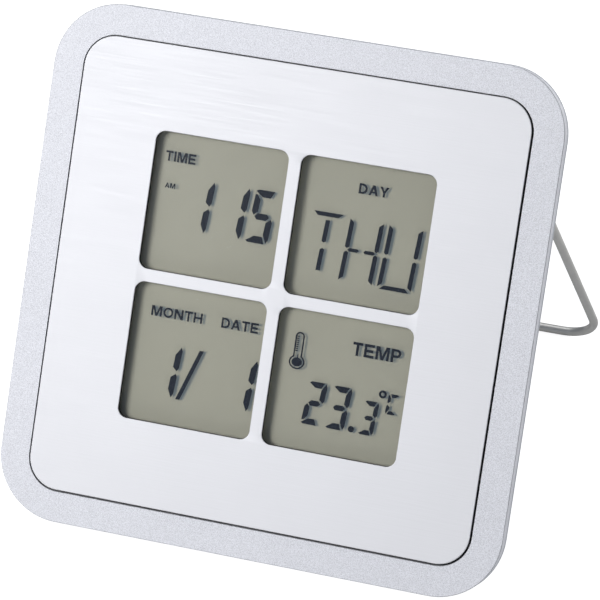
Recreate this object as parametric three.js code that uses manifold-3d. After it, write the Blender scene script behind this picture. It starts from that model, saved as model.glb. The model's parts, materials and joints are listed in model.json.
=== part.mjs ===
// A square desk clock with a calendar and a thermometer, standing on a folding wire leg.
//
// Every piece is modelled in the clock's own frame, in millimetres: X to the right, Y from the
// face towards the back, Z up the face. The face's frame starts at Y = 0 and its lower edge is
// Z = 0. At the end the whole clock is leaned back until its lower rear edge and the wire's
// bar stand on Z = 0, with the origin under the middle of the object.
import * as THREE from "three";
import { mergeVertices } from "three/addons/utils/BufferGeometryUtils.js";
import Module from "manifold-3d";

const wasm = await Module();
wasm.setup();

// ---------------------------------------------------------------- driving dimensions
const FACE = 100; // outer side of the square frame
const MIDDLE = FACE / 2; // height of the face's centre
const FACE_CORNER = 12.7; // outer corner radius of the frame
const EDGE_ROUND = 0.4; // rounding of the frame's outer edges
const EDGE_STEPS = 2; // facets across a rounded edge
const CORNER_STEPS = 8; // pairs of facets round an outer corner
const FRAME_BACK = 2.2; // the frame's rim ends here, the rear case goes on
const CASE_FRONT = 2.35;
const CASE_RIM_BACK = 3.7; // total thickness of the clock's edge
const AIR = 0.05; // gap between pieces that lie on each other
const CLEARANCE = 0.2; // gap round pieces that drop into a pocket
const PAST = 1; // how far cutting tools reach past the surface they cut

const PANEL = 87.6; // side of the aluminium panel
const PANEL_CORNER = 6.1;
const PANEL_GAP = 0.4; // groove between the panel and the frame
const PANEL_PROUD = 0.3; // the panel stands this far in front of the frame
const PANEL_THICK = 0.8;
const PANEL_EDGE = 0.15;
const TAPE_THICK = 0.15;
const TAPE_INSET = 0.5; // from the panel's edge and from the opening to the tape
const POCKET = PANEL + 2 * PANEL_GAP; // the frame's opening, with room for the panel
const POCKET_CORNER = PANEL_CORNER + PANEL_GAP;
const LIP_INSET = 0.5; // the rear case's lip sits in the pocket behind the ledge
const LIP_WALL = 1.9;
const FLOOR_THICK = 1.2; // the frame's ledge behind the panel
const FLOOR_OPENING = 65; // opening in that ledge for the display

const WINDOW_INNER = 1.23; // from the face's centre lines to a window
const WINDOW_OUTER = 27.6;
const WINDOW_CORNER = 1.9;

const POLARISER_THICK = 0.15;
const GLASS_THICK = 0.7;
const REFLECTOR_THICK = 0.2;
const GLASS = 60.8; // side of the front glass
const REAR_GLASS_HEIGHT = 56.4; // the front glass overhangs it to take the contacts
const HOLDER = 64.4;
const HOLDER_CORNER = 3;
const HOLDER_PLATE_THICK = 2.4;
const ZEBRA_LENGTH = 56;
const ZEBRA_THICK = 1.6;
const ZEBRA_HEIGHT_ON_FACE = 29.35; // from the centre to the middle of a zebra strip

const BOARD = 63;
const BOARD_CORNER = 1.5;
const BOARD_THICK = 1.2;
const BOARD_SCREW_AT = [24, 25]; // from the centre, sideways and up
const BOARD_SCREW_RADIUS = 0.8;
const BOARD_SCREW_BITE = 2;
const BOARD_SCREW_HEAD_RADIUS = 1.5;
const BOARD_SCREW_HEAD_HEIGHT = 1;
// A screw's head, as shares of its height (rise, depth) and of its radius (top, long, thin).
const SCREW_HEAD = { rise: 0.35, top: 0.8 };
const SCREW_CROSS = { depth: 0.55, long: 0.55, thin: 0.13 };

// Parts on the board. Their places x and z are from the face's centre.
const CHIP = { x: -16, z: -2, radius: 5, height: 1.3 };
const CRYSTAL = { left: 8, right: 14, z: 3, radius: 1 };
const CRYSTAL_LEG = { left: 6, spread: 0.35, radius: 0.15 };
const THERMISTOR = { x: 26, z: -8, radius: 1.2, height: 4, legSpread: 0.6, legRadius: 0.2 };
const CAPACITOR = { width: 2, height: 1.2, thick: 1.1, z: -4 };

const CASE_BACK = 16; // outer face of the rear case
const CASE_WALL = 1.8;
const HOUSING_WIDTH = 76;
const HOUSING_HEIGHT = 78;
const HOUSING_CORNER = 5;
const HOUSING_EDGE = 0.8; // rounding round the back face
const CASE_SCREW_AT = [26, 34.8]; // from the centre, sideways and up
const CASE_SCREW_RADIUS = 1;
const CASE_SCREW_HEAD_RADIUS = 1.9;
const CASE_SCREW_HEAD_HEIGHT = 1.4;
const POST_RADIUS = 2.1;
const POST_BACK = 6.5;
const WELL_WALL = 1; // wall of the tubes that the case screws sit in
const WELL_FLOOR = 1.5;

const BUTTON_HEIGHT_ON_FACE = 66;
const BUTTON_SPACING = 14;
const BUTTON = { width: 8, height: 5, corner: 2, sunk: 0.3, round: 0.35 };
const BUTTON_FLANGE = 0.9; // how far it reaches past the opening, and its thickness
const BUTTON_STEM_RADIUS = 1.5;
const BUTTON_TRAVEL = 0.5;
const SWITCH = { side: 6, height: 3.6, floor: 0.6, boreRadius: 1.9 };
const PLUNGER = { radius: 1.7, out: 1.6 }; // out is how far it stands out of its switch

const CELL_RADIUS = 10; // a 20 mm coin cell
const CELL_THICK = 3.2;
const CELL_CAP = { inset: 1.1, thick: 0.35 };
const CELL_ROUND = 0.25;
const CELL_HEIGHT_ON_FACE = 28;
const CUP_RADIUS = 10.6;
const CUP_WALL = 1.2;
const CUP_FLOOR = 1;
const CONTACT_THICK = 0.2;
const LEAF = { halfWidth: 2, below: 6, above: 7, tailHalfWidth: 1.2 }; // the negative contact
const STRIP = { halfWidth: 1.5, foot: 2.5 }; // the positive contact
const CONTACT_SLOT_GAP = 0.3; // round a contact, in the slot through the cup
const DOOR_HALF_WIDTH = 12.6;
const DOOR_TONGUE = 1.2; // the door's side tongues run in grooves
const DOOR_TONGUE_THICK = 0.6;
const DOOR_TOP = 42;
const DOOR_THICK = 1.5;
const LEDGE_THICK = 1.1;
const RIDGES = { count: 5, fromTop: 5, pitch: 1.6, radius: 0.6, halfLength: 5, sunk: 0.5 };

const VENT = { count: 4, across: [21, 31], top: 46, pitch: 3, height: 1.2 }; // by the thermistor

const WIRE_RADIUS = 0.9;
const HINGE_DEPTH = 10; // the wire's hinge axis, behind the face and up it
const HINGE_HEIGHT = 84;
const HINGE_HOLE_RADIUS = 1.05;
const WIRE_END = 34.8; // from the middle to the end of the wire, inside the case
const WIRE_TOP = 39.8; // from the middle to a leg at the hinge axis
const WIRE_BOTTOM = 48.1; // and at the bar
const WIRE_REACH = 77.5; // from the hinge axis to the bar
const WIRE_TOP_BEND = 2;
const WIRE_BOTTOM_BEND = 7.4;
const WIRE_BEND_STEPS = 10; // facets along each bend
const STAND_OPEN = THREE.MathUtils.degToRad(59.8); // between the legs and the face when open
const STOP_RADIUS = 1.2;
const STOP_DISTANCE = 3.9; // along the open leg, from the hinge axis to the stop peg

// ---------------------------------------------------------------- derived depths, front to back
const PANEL_BACK = PANEL_THICK - PANEL_PROUD;
const TAPE_FRONT = PANEL_BACK + AIR;
const FLOOR_FRONT = TAPE_FRONT + TAPE_THICK + AIR;
const FLOOR_BACK = FLOOR_FRONT + FLOOR_THICK;
const POLARISER_FRONT = PANEL_BACK + AIR;
const FRONT_GLASS_FRONT = POLARISER_FRONT + POLARISER_THICK + AIR;
const FRONT_GLASS_BACK = FRONT_GLASS_FRONT + GLASS_THICK;
const REAR_GLASS_FRONT = FRONT_GLASS_BACK + AIR;
const REFLECTOR_FRONT = REAR_GLASS_FRONT + GLASS_THICK + AIR;
const HOLDER_PLATE_FRONT = REFLECTOR_FRONT + REFLECTOR_THICK + AIR;
const HOLDER_BACK = HOLDER_PLATE_FRONT + HOLDER_PLATE_THICK;
const BOARD_FRONT = HOLDER_BACK + AIR;
const BOARD_BACK = BOARD_FRONT + BOARD_THICK;
const PARTS_FRONT = BOARD_BACK + AIR; // where parts on the board start
const BACK_WALL_FRONT = CASE_BACK - CASE_WALL;
const HOUSING_BOTTOM = MIDDLE - HOUSING_HEIGHT / 2;
const WELL_FRONT = POST_BACK + CLEARANCE;
const SCREW_SEAT = WELL_FRONT + WELL_FLOOR;
const DOOR_FRONT = CASE_BACK - DOOR_THICK - AIR;
const LEDGE_BACK = DOOR_FRONT - CLEARANCE;
const CELL_BACK = LEDGE_BACK - CLEARANCE / 2;
const CELL_FRONT = CELL_BACK - CELL_THICK;
const CUP_FLOOR_BACK = CELL_FRONT - CONTACT_THICK - 3 * AIR;
const CUP_FRONT = CUP_FLOOR_BACK - CUP_FLOOR;
const PLUNGER_FRONT = PARTS_FRONT + SWITCH.floor + BUTTON_TRAVEL + AIR;
const PLUNGER_BACK = PARTS_FRONT + SWITCH.height + PLUNGER.out;

const BOTH = [-1, 1];
const CORNERS = [
  [-1, 1],
  [1, 1],
  [-1, -1],
  [1, -1],
];

// ---------------------------------------------------------------- materials
const finish = (color, roughness, metalness) =>
  new THREE.MeshStandardMaterial({ color, roughness, metalness });

const FINISH = {
  silverPaint: () => finish(0xdfe3ea, 0.45, 0.3),
  aluminium: () => finish(0xe6e6ec, 0.35, 0.9),
  greyPlastic: () => finish(0xb9bdc4, 0.55, 0),
  blackTape: () => finish(0x15161a, 0.8, 0),
  polariser: () => finish(0xa6a89a, 0.2, 0),
  glass: () => finish(0xd8e2de, 0.05, 0),
  reflector: () => finish(0x9fa194, 0.5, 0.1),
  whitePlastic: () => finish(0xe9e9e4, 0.5, 0),
  zebraRubber: () => finish(0xd98a9a, 0.7, 0),
  greenBoard: () => finish(0x1d5b35, 0.45, 0),
  blackEpoxy: () => finish(0x111214, 0.35, 0),
  tin: () => finish(0xc9cbcc, 0.3, 0.9),
  brownBead: () => finish(0x3a2a20, 0.4, 0),
  ceramic: () => finish(0xb08d5a, 0.6, 0),
  switchBlack: () => finish(0x202124, 0.5, 0),
  darkButton: () => finish(0x8d9198, 0.5, 0),
  steel: () => finish(0xa9abad, 0.3, 1),
};

// ---------------------------------------------------------------- solids
// A closed three.js geometry as a manifold solid.
function solid(geometry) {
  geometry.deleteAttribute("normal");
  geometry.deleteAttribute("uv");
  const merged = mergeVertices(geometry, 1e-5);
  const mesh = new wasm.Mesh({
    numProp: 3,
    vertProperties: merged.attributes.position.array,
    triVerts: new Uint32Array(merged.index.array),
  });
  return new wasm.Manifold(mesh);
}

// A manifold solid as a named three.js mesh.
function piece(name, shape, material) {
  const { numProp, vertProperties, triVerts } = shape.getMesh();
  const geometry = new THREE.BufferGeometry();
  geometry.setAttribute("position", new THREE.BufferAttribute(vertProperties, numProp));
  geometry.setIndex(new THREE.BufferAttribute(triVerts, 1));
  geometry.computeVertexNormals();
  const mesh = new THREE.Mesh(geometry, material);
  mesh.name = name;
  return mesh;
}

const union = (shapes) => shapes.reduce((whole, shape) => whole.add(shape));
const carve = (shape, tools) => tools.reduce((rest, tool) => rest.subtract(tool), shape);

// A box between two corners.
function block([x0, x1], [y0, y1], [z0, z1]) {
  const box = new THREE.BoxGeometry(x1 - x0, y1 - y0, z1 - z0);
  return solid(box.translate((x0 + x1) / 2, (y0 + y1) / 2, (z0 + z1) / 2));
}

// A round bar that runs from front to back.
function rod(x, z, radius, [y0, y1], sides = 20) {
  const bar = new THREE.CylinderGeometry(radius, radius, y1 - y0, sides);
  return solid(bar.translate(x, (y0 + y1) / 2, z));
}

// A round bar that runs sideways.
function crossRod([x0, x1], y, z, radius, sides = 16) {
  const bar = new THREE.CylinderGeometry(radius, radius, x1 - x0, sides).rotateZ(Math.PI / 2);
  return solid(bar.translate((x0 + x1) / 2, y, z));
}

// A solid turned round a front-to-back axis, from its profile of [radius, y] points.
function turned(profile, sides) {
  const points = profile.map(([radius, y]) => new THREE.Vector2(radius, y));
  return solid(new THREE.LatheGeometry(points, sides));
}

// A rectangle with round corners, centred on (x, z) of the face.
function roundedRectangle(x, z, width, height, radius, path = new THREE.Shape()) {
  const right = x + width / 2 - radius;
  const left = x - width / 2 + radius;
  const top = z + height / 2 - radius;
  const bottom = z - height / 2 + radius;
  const quarter = Math.PI / 2;
  path.absarc(right, top, radius, 0, quarter);
  path.absarc(left, top, radius, quarter, 2 * quarter);
  path.absarc(left, bottom, radius, 2 * quarter, 3 * quarter);
  path.absarc(right, bottom, radius, 3 * quarter, 4 * quarter);
  path.closePath();
  return path;
}

const square = (side, radius, path) =>
  roundedRectangle(0, MIDDLE, side, side, radius, path);

// An outline on the face, made thick from y0 to y1. round is the radius of its front and
// back edges.
function slab(outline, [y0, y1], { round = 0, steps = EDGE_STEPS, curveSegments = 4 } = {}) {
  const plate = new THREE.ExtrudeGeometry(outline, {
    depth: y1 - y0 - 2 * round,
    bevelEnabled: round > 0,
    bevelThickness: round,
    bevelSize: round,
    bevelOffset: -round,
    bevelSegments: steps,
    curveSegments,
  });
  return solid(plate.rotateX(Math.PI / 2).translate(0, y1 - round, 0));
}

// ---------------------------------------------------------------- front
// The rim and the ledge behind the panel are one moulding, with four posts for the case screws.
function frontFrame() {
  const rim = slab(square(FACE, FACE_CORNER), [0, FRAME_BACK + EDGE_ROUND], {
    round: EDGE_ROUND,
    curveSegments: CORNER_STEPS,
  });
  const pocket = square(POCKET, POCKET_CORNER);
  const opening = square(FLOOR_OPENING, HOLDER_CORNER);
  const frame = carve(rim, [
    slab(pocket, [-PAST, FLOOR_FRONT], { curveSegments: CORNER_STEPS }),
    slab(pocket, [FLOOR_BACK, CASE_RIM_BACK]),
    slab(opening, [-PAST, CASE_RIM_BACK]),
    block([-FACE, FACE], [FRAME_BACK, CASE_RIM_BACK], [-FACE, 2 * FACE]),
  ]);
  const [across, up] = CASE_SCREW_AT;
  const posts = CORNERS.map(([sideways, upwards]) => {
    const at = [sideways * across, MIDDLE + upwards * up];
    const pilot = rod(...at, CASE_SCREW_RADIUS + CLEARANCE / 2, [FLOOR_BACK + AIR, CASE_BACK]);
    return rod(...at, POST_RADIUS, [FLOOR_BACK - AIR, POST_BACK]).subtract(pilot);
  });
  return piece("front_frame", union([frame, ...posts]), FINISH.silverPaint());
}

// One window's outline, in the quarter of the face given by the signs.
function windowOutline(sideways, upwards, grow = 0) {
  const side = WINDOW_OUTER - WINDOW_INNER + 2 * grow;
  const offset = (WINDOW_OUTER + WINDOW_INNER) / 2;
  return roundedRectangle(
    sideways * offset,
    MIDDLE + upwards * offset,
    side,
    side,
    WINDOW_CORNER + grow,
    new THREE.Path(),
  );
}

function frontPanel() {
  const outline = square(PANEL, PANEL_CORNER);
  outline.holes = CORNERS.map(([sideways, upwards]) => windowOutline(sideways, upwards));
  const plate = slab(outline, [-PANEL_PROUD, PANEL_BACK], { round: PANEL_EDGE, steps: 1 });
  return piece("front_panel", plate, FINISH.aluminium());
}

function panelTape() {
  const outline = square(PANEL - 2 * TAPE_INSET, PANEL_CORNER - TAPE_INSET);
  const opening = FLOOR_OPENING + 2 * TAPE_INSET;
  outline.holes = [square(opening, HOLDER_CORNER, new THREE.Path())];
  const ring = slab(outline, [TAPE_FRONT, TAPE_FRONT + TAPE_THICK]);
  return piece("panel_tape", ring, FINISH.blackTape());
}

// ---------------------------------------------------------------- display
function sheet(name, height, front, thick, material) {
  const half = GLASS / 2;
  const plate = block(
    [-half, half],
    [front, front + thick],
    [MIDDLE - height / 2, MIDDLE + height / 2],
  );
  return piece(name, plate, material);
}

const display = () => [
  sheet(
    "lcd_front_polariser",
    REAR_GLASS_HEIGHT,
    POLARISER_FRONT,
    POLARISER_THICK,
    FINISH.polariser(),
  ),
  sheet("lcd_front_glass", GLASS, FRONT_GLASS_FRONT, GLASS_THICK, FINISH.glass()),
  sheet("lcd_rear_glass", REAR_GLASS_HEIGHT, REAR_GLASS_FRONT, GLASS_THICK, FINISH.glass()),
  sheet(
    "lcd_rear_reflector",
    REAR_GLASS_HEIGHT,
    REFLECTOR_FRONT,
    REFLECTOR_THICK,
    FINISH.reflector(),
  ),
];

// A tray round the glass, with a slot for each zebra strip and pilot holes for the board screws.
function lcdHolder() {
  const tray = slab(square(HOLDER, HOLDER_CORNER), [FRONT_GLASS_FRONT, HOLDER_BACK]);
  const half = GLASS / 2 + CLEARANCE;
  const pocket = block(
    [-half, half],
    [0, HOLDER_PLATE_FRONT],
    [MIDDLE - half, MIDDLE + half],
  );
  const slots = BOTH.map((upwards) => zebraBlock(upwards, CLEARANCE, [0, BOARD_FRONT]));
  const pilots = boardScrewPlaces().map(([x, z]) =>
    rod(x, z, BOARD_SCREW_RADIUS + CLEARANCE / 2, [HOLDER_BACK - BOARD_SCREW_BITE, BOARD_BACK], 16),
  );
  return piece("lcd_holder", carve(tray, [pocket, ...slots, ...pilots]), FINISH.whitePlastic());
}

function zebraBlock(upwards, grow, depths) {
  const z = MIDDLE + upwards * ZEBRA_HEIGHT_ON_FACE;
  const halfThick = ZEBRA_THICK / 2 + grow / 2;
  const halfLength = ZEBRA_LENGTH / 2 + grow;
  return block([-halfLength, halfLength], depths, [z - halfThick, z + halfThick]);
}

const zebraStrip = (name, upwards) =>
  piece(
    name,
    zebraBlock(upwards, 0, [FRONT_GLASS_BACK + AIR, HOLDER_BACK]),
    FINISH.zebraRubber(),
  );

// ---------------------------------------------------------------- circuit board
const boardScrewPlaces = () =>
  CORNERS.map(([sideways, upwards]) => [
    sideways * BOARD_SCREW_AT[0],
    MIDDLE + upwards * BOARD_SCREW_AT[1],
  ]);

function circuitBoard() {
  const board = slab(square(BOARD, BOARD_CORNER), [BOARD_FRONT, BOARD_BACK]);
  const holes = boardScrewPlaces().map(([x, z]) =>
    rod(x, z, BOARD_SCREW_RADIUS + CLEARANCE, [0, CASE_BACK]),
  );
  return piece("circuit_board", carve(board, holes), FINISH.greenBoard());
}

// The black drop of epoxy over the bonded chip.
function chipCover() {
  const steps = 6;
  const arc = [...Array(steps).keys()].map((i) => {
    const angle = (i / steps) * (Math.PI / 2);
    return [CHIP.radius * Math.cos(angle), CHIP.height * Math.sin(angle)];
  });
  const drop = turned([[0, 0], ...arc, [0, CHIP.height]], 24);
  const place = [CHIP.x, PARTS_FRONT, MIDDLE + CHIP.z];
  return piece("chip_cover", drop.translate(place), FINISH.blackEpoxy());
}

// A watch crystal in a small can, lying on the board.
function quartzCrystal() {
  const { left, right, radius } = CRYSTAL;
  const y = PARTS_FRONT + radius;
  const z = MIDDLE + CRYSTAL.z;
  const can = crossRod([left, right], y, z, radius);
  const legs = BOTH.map((side) => {
    const reach = [CRYSTAL_LEG.left, left + radius / 2];
    return crossRod(reach, y, z + side * CRYSTAL_LEG.spread, CRYSTAL_LEG.radius, 8);
  });
  return piece("quartz_crystal", union([can, ...legs]), FINISH.tin());
}

// A small bead on two legs that measures the air's temperature.
function thermistor() {
  const { x, radius, height, legSpread, legRadius } = THERMISTOR;
  const y = PARTS_FRONT + height;
  const z = MIDDLE + THERMISTOR.z;
  const bead = solid(new THREE.SphereGeometry(radius, 16, 10).translate(x, y, z));
  const legs = BOTH.map((side) => rod(x + side * legSpread, z, legRadius, [PARTS_FRONT, y], 8));
  return piece("thermistor", union([bead, ...legs]), FINISH.brownBead());
}

function capacitor(name, x) {
  const z = MIDDLE + CAPACITOR.z;
  const body = block(
    [x - CAPACITOR.width / 2, x + CAPACITOR.width / 2],
    [PARTS_FRONT, PARTS_FRONT + CAPACITOR.thick],
    [z - CAPACITOR.height / 2, z + CAPACITOR.height / 2],
  );
  return piece(name, body, FINISH.ceramic());
}

// A screw whose head's underside is at y = seat and whose shank runs towards the face.
function screw(name, [x, z], seat, tip, radius, headRadius, headHeight) {
  const shank = rod(x, z, radius, [tip, seat + AIR]);
  const top = seat + headHeight;
  const head = turned(
    [
      [0, seat],
      [headRadius, seat],
      [headRadius, top - headHeight * SCREW_HEAD.rise],
      [headRadius * SCREW_HEAD.top, top],
      [0, top],
    ],
    20,
  ).translate([x, 0, z]);
  const long = headRadius * SCREW_CROSS.long;
  const thin = headRadius * SCREW_CROSS.thin;
  const depth = [top - headHeight * SCREW_CROSS.depth, top + PAST];
  const cross = [
    block([x - long, x + long], depth, [z - thin, z + thin]),
    block([x - thin, x + thin], depth, [z - long, z + long]),
  ];
  return piece(name, carve(union([shank, head]), cross), FINISH.steel());
}

const boardScrews = () =>
  boardScrewPlaces().map((place, i) =>
    screw(
      `board_screw_${i + 1}`,
      place,
      PARTS_FRONT,
      HOLDER_BACK - BOARD_SCREW_BITE + CLEARANCE,
      BOARD_SCREW_RADIUS,
      BOARD_SCREW_HEAD_RADIUS,
      BOARD_SCREW_HEAD_HEIGHT,
    ),
  );

// ---------------------------------------------------------------- buttons and their switches
const buttonX = (column) => column * BUTTON_SPACING;

function switchBody(name, column) {
  const x = buttonX(column);
  const half = SWITCH.side / 2;
  const body = block(
    [x - half, x + half],
    [PARTS_FRONT, PARTS_FRONT + SWITCH.height],
    [BUTTON_HEIGHT_ON_FACE - half, BUTTON_HEIGHT_ON_FACE + half],
  );
  const floor = PARTS_FRONT + SWITCH.floor;
  const bore = rod(x, BUTTON_HEIGHT_ON_FACE, SWITCH.boreRadius, [floor, CASE_BACK], 24);
  return piece(name, body.subtract(bore), FINISH.switchBlack());
}

function plunger(name, column) {
  const pin = rod(
    buttonX(column),
    BUTTON_HEIGHT_ON_FACE,
    PLUNGER.radius,
    [PLUNGER_FRONT, PLUNGER_BACK],
    24,
  );
  return piece(name, pin, FINISH.whitePlastic());
}

// The opening in the case, or with a negative grow the cap that moves in it.
const buttonOutline = (column, grow) =>
  roundedRectangle(
    buttonX(column),
    BUTTON_HEIGHT_ON_FACE,
    BUTTON.width + 2 * grow,
    BUTTON.height + 2 * grow,
    BUTTON.corner + grow,
  );

function button(name, column) {
  const flangeBack = BACK_WALL_FRONT - CLEARANCE / 2;
  const flangeFront = flangeBack - BUTTON_FLANGE;
  const cap = slab(
    buttonOutline(column, -CLEARANCE),
    [flangeFront + AIR, CASE_BACK - BUTTON.sunk],
    { round: BUTTON.round },
  );
  const flange = slab(buttonOutline(column, BUTTON_FLANGE), [flangeFront, flangeBack]);
  const stem = rod(
    buttonX(column),
    BUTTON_HEIGHT_ON_FACE,
    BUTTON_STEM_RADIUS,
    [PLUNGER_BACK + AIR, flangeFront + AIR],
  );
  return piece(name, union([cap, flange, stem]), FINISH.darkButton());
}

const BUTTONS = [
  ["mode", -1],
  ["set", 0],
  ["unit", 1],
];

const buttons = () =>
  BUTTONS.flatMap(([name, column]) => [
    switchBody(`${name}_switch`, column),
    plunger(`${name}_plunger`, column),
    button(`${name}_button`, column),
  ]);

// ---------------------------------------------------------------- battery
// A coin cell: the can is at the back, under the door, and the smaller cap faces the board.
function battery() {
  const cap = CELL_RADIUS - CELL_CAP.inset;
  const profile = [
    [0, 0],
    [cap, 0],
    [cap, CELL_CAP.thick],
    [CELL_RADIUS - CELL_ROUND, CELL_CAP.thick],
    [CELL_RADIUS, CELL_CAP.thick + CELL_ROUND],
    [CELL_RADIUS, CELL_THICK - CELL_ROUND],
    [CELL_RADIUS - CELL_ROUND, CELL_THICK],
    [0, CELL_THICK],
  ];
  const cell = turned(profile, 36).translate([0, CELL_FRONT, CELL_HEIGHT_ON_FACE]);
  return piece("battery", cell, FINISH.steel());
}

// A leaf under the cell's cap, with a tail down to the board.
function negativeContact() {
  const back = CELL_FRONT - AIR;
  const bottom = CELL_HEIGHT_ON_FACE - LEAF.below;
  const top = CELL_HEIGHT_ON_FACE + LEAF.above;
  const leaf = block(
    [-LEAF.halfWidth, LEAF.halfWidth],
    [back - CONTACT_THICK, back],
    [bottom, top],
  );
  const tail = block(
    [-LEAF.tailHalfWidth, LEAF.tailHalfWidth],
    [PARTS_FRONT, back - CONTACT_THICK / 2],
    [top - CONTACT_THICK, top],
  );
  return piece("negative_contact", leaf.add(tail), FINISH.tin());
}

// A strip that stands against the side of the cell, with a foot on the board.
function positiveContact() {
  const x = CELL_RADIUS + CLEARANCE;
  const z = [CELL_HEIGHT_ON_FACE - STRIP.halfWidth, CELL_HEIGHT_ON_FACE + STRIP.halfWidth];
  const strip = block([x, x + CONTACT_THICK], [PARTS_FRONT, CELL_BACK], z);
  const foot = block([x, x + STRIP.foot], [PARTS_FRONT, PARTS_FRONT + CONTACT_THICK], z);
  return piece("positive_contact", strip.add(foot), FINISH.tin());
}

// Slots through the cup's floor for the two contacts' tails.
function contactSlots() {
  const gap = CONTACT_SLOT_GAP;
  const tailHalf = LEAF.tailHalfWidth + gap;
  const tailTop = CELL_HEIGHT_ON_FACE + LEAF.above;
  const stripLeft = CELL_RADIUS + CLEARANCE;
  const stripHalf = STRIP.halfWidth + gap;
  return [
    block([-tailHalf, tailHalf], [0, CELL_FRONT], [tailTop - CONTACT_THICK - gap, tailTop + gap]),
    block(
      [stripLeft - gap, stripLeft + CONTACT_THICK + gap],
      [0, LEDGE_BACK],
      [CELL_HEIGHT_ON_FACE - stripHalf, CELL_HEIGHT_ON_FACE + stripHalf],
    ),
  ];
}

// A flat cover with a tongue along each side and a ridged thumb hollow.
function batteryDoor() {
  const back = CASE_BACK - AIR;
  const z = [HOUSING_BOTTOM + AIR, DOOR_TOP];
  const plate = block([-DOOR_HALF_WIDTH, DOOR_HALF_WIDTH], [DOOR_FRONT, back], z);
  const wide = DOOR_HALF_WIDTH + DOOR_TONGUE;
  const tongues = block([-wide, wide], [DOOR_FRONT, DOOR_FRONT + DOOR_TONGUE_THICK], z);
  const { count, fromTop, pitch, radius, halfLength, sunk } = RIDGES;
  const grooves = [...Array(count).keys()].map((i) => {
    const middle = DOOR_TOP - fromTop - pitch * i;
    return crossRod([-halfLength, halfLength], back + radius - sunk, middle, radius);
  });
  return piece("battery_door", carve(plate.add(tongues), grooves), FINISH.greyPlastic());
}

// ---------------------------------------------------------------- rear case
const housingOutline = (shrink) =>
  roundedRectangle(
    0,
    MIDDLE,
    HOUSING_WIDTH - 2 * shrink,
    HOUSING_HEIGHT - 2 * shrink,
    HOUSING_CORNER - shrink,
  );

const caseScrewPlaces = () =>
  CORNERS.map(([sideways, upwards]) => [
    sideways * CASE_SCREW_AT[0],
    MIDDLE + upwards * CASE_SCREW_AT[1],
  ]);

// The room that the battery door needs in the back wall, open at the case's lower edge.
function doorway() {
  const below = HOUSING_BOTTOM - PAST;
  const top = DOOR_TOP + CLEARANCE;
  const half = DOOR_HALF_WIDTH + CLEARANCE;
  const tongue = half + DOOR_TONGUE;
  const tongueBack = DOOR_FRONT + DOOR_TONGUE_THICK + CLEARANCE;
  return [
    block([-half, half], [LEDGE_BACK, CASE_BACK + PAST], [below, top]),
    block([-tongue, tongue], [LEDGE_BACK, tongueBack], [below, top]),
  ];
}

// A peg on each side that the open leg leans against.
function stopPegs() {
  const away = WIRE_RADIUS + CLEARANCE + STOP_RADIUS;
  const y = HINGE_DEPTH + STOP_DISTANCE * Math.sin(STAND_OPEN) + away * Math.cos(STAND_OPEN);
  const z = HINGE_HEIGHT - STOP_DISTANCE * Math.cos(STAND_OPEN) + away * Math.sin(STAND_OPEN);
  const inner = HOUSING_WIDTH / 2 - CASE_WALL;
  const outer = WIRE_TOP + WIRE_RADIUS;
  return [
    crossRod([inner, outer], y, z, STOP_RADIUS),
    crossRod([-outer, -inner], y, z, STOP_RADIUS),
  ];
}

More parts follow.
